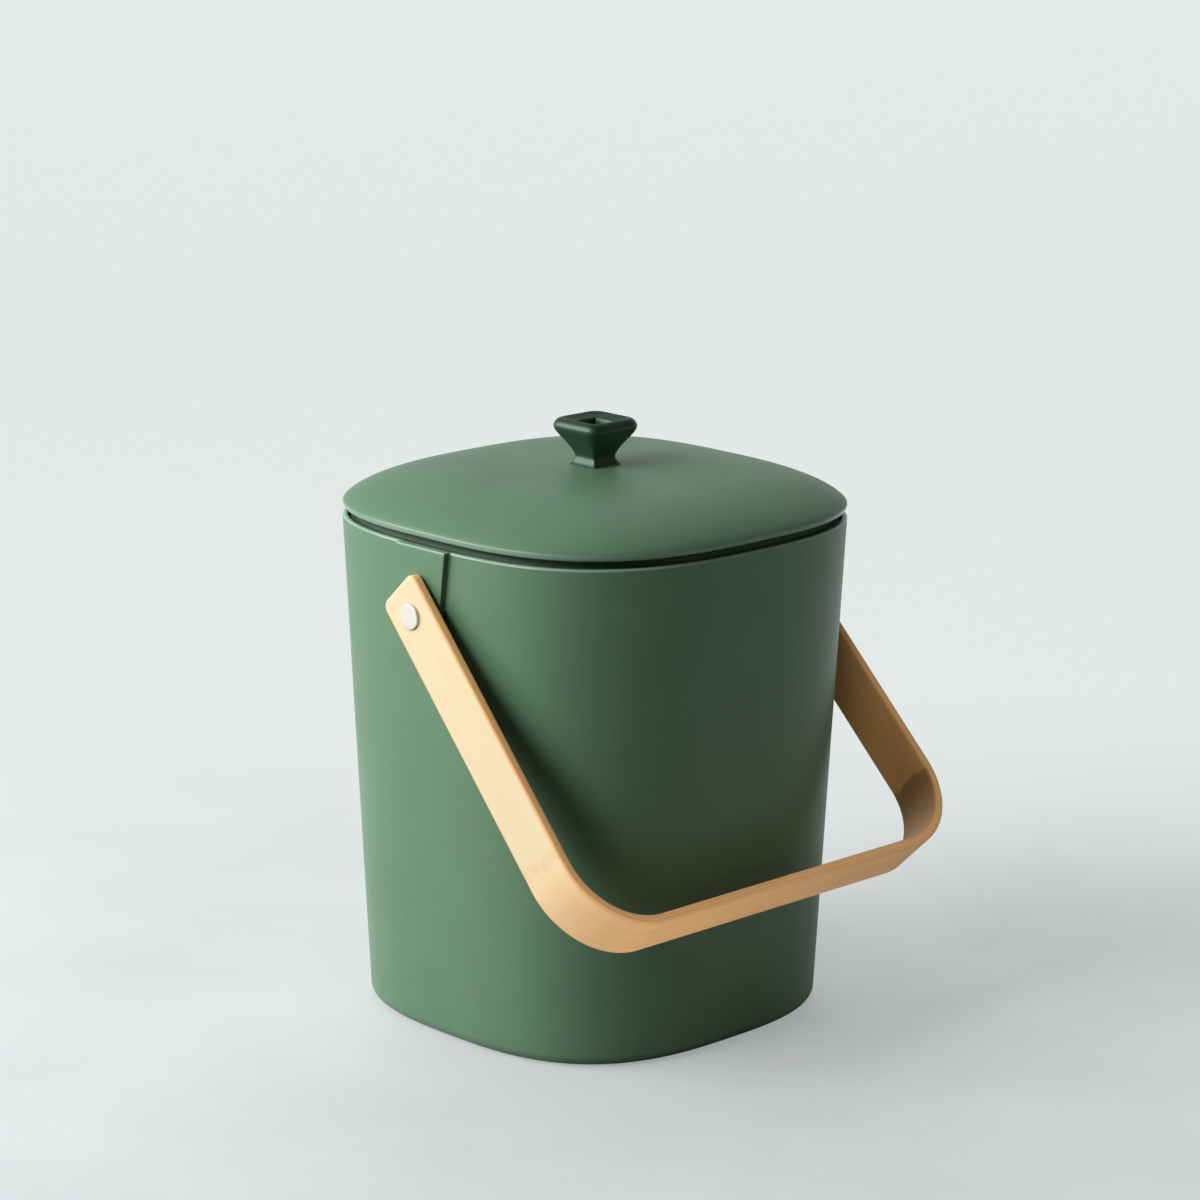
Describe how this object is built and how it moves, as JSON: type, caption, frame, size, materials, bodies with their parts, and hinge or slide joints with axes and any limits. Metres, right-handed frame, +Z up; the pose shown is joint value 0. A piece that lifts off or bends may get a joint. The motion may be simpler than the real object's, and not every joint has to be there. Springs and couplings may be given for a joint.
{
  "type": "compost caddy",
  "caption": "Soft-square countertop compost caddy with a drafted bin, a vented lift-off lid with a hollow knob, a charcoal filter and a bent-wood bail handle.",
  "frame": {"origin": "centre of the foot, on the surface that the caddy stands on", "axes": "+Z up; X is the axis that the handle swings on; -Y is the front, where the handle rests"},
  "size_m": [0.212, 0.2116, 0.2486],
  "materials": {
    "green_body": "matte moulded fibre composite, very fine grain",
    "green_lid": "matte moulded fibre composite, very fine grain",
    "green_knob": "satin moulded fibre composite",
    "green_cover": "matte moulded plastic",
    "bent_wood": "pale laminated bamboo, fine long grain, thin matt lacquer",
    "satin_steel": "satin",
    "inner_steel": "plain zinc-plated steel",
    "spacer_nylon": "natural nylon",
    "insert_brass": "turned brass",
    "charcoal_felt": "charcoal-loaded felt"
  },
  "bodies": {
    "bin": {"bin_body": "green_body", "left_pivot_post": "satin_steel", "right_pivot_post": "satin_steel", "left_spacer": "spacer_nylon", "right_spacer": "spacer_nylon", "left_inner_washer": "inner_steel", "right_inner_washer": "inner_steel", "left_post_screw": "inner_steel", "right_post_screw": "inner_steel"},
    "handle": {"handle_strap": "bent_wood"},
    "lid": {"lid_shell": "green_lid", "lid_knob": "green_knob", "knob_insert": "insert_brass", "knob_screw": "inner_steel", "knob_washer": "inner_steel"},
    "filter": {"filter_cover": "green_cover", "charcoal_filter": "charcoal_felt"}
  },
  "joints": [
    {"name": "handle_swing", "type": "hinge", "parent": "bin", "child": "handle", "pos_m": [0, 0, 0.1816], "axis": [-1, 0, 0], "range_deg": [-4.5, 277]},
    {"name": "lid_lift", "type": "slide", "parent": "bin", "child": "lid", "axis": [0, 0, 1], "range_m": [0, 0.12]},
    {"name": "cover_pull", "type": "slide", "parent": "lid", "child": "filter", "axis": [0, 0, -1], "range_m": [0, 0.012]}
  ]
}
